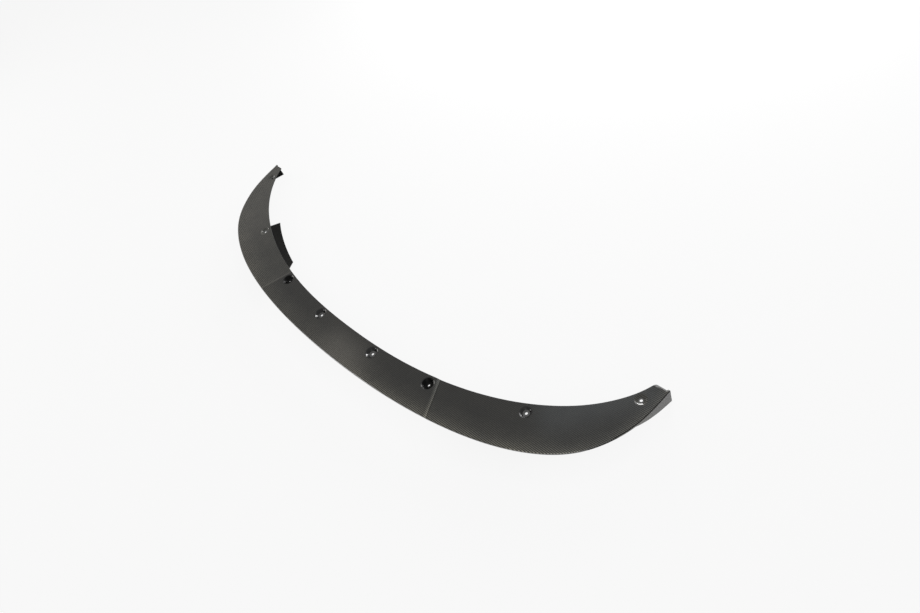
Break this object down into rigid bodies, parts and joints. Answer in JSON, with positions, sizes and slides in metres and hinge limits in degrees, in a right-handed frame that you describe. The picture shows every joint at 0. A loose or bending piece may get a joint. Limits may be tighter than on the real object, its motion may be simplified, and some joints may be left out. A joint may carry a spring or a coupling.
{
  "type": "front splitter lip",
  "caption": "Swept front splitter lip of twill carbon laminate in bonded sections, with screw dimples along the trailing edge, raked stay flanges and down-turned fins at the tips.",
  "frame": {"origin": "midway between the two middle screw holes, on the undersides of their dimples, where the lip seats against the car", "axes": "+X across the car from the left section to the right section, -Y towards the front of the car, +Z out of the road face, so the lip is shown upside down as it lies in the picture"},
  "size_m": [1.766, 0.443, 0.0553],
  "materials": {
    "carbon_laminate": "2x2 twill carbon weave under a satin clear coat"
  },
  "bodies": {
    "root": {"left_section": "carbon_laminate", "centre_section": "carbon_laminate", "right_section": "carbon_laminate"}
  },
  "joints": []
}
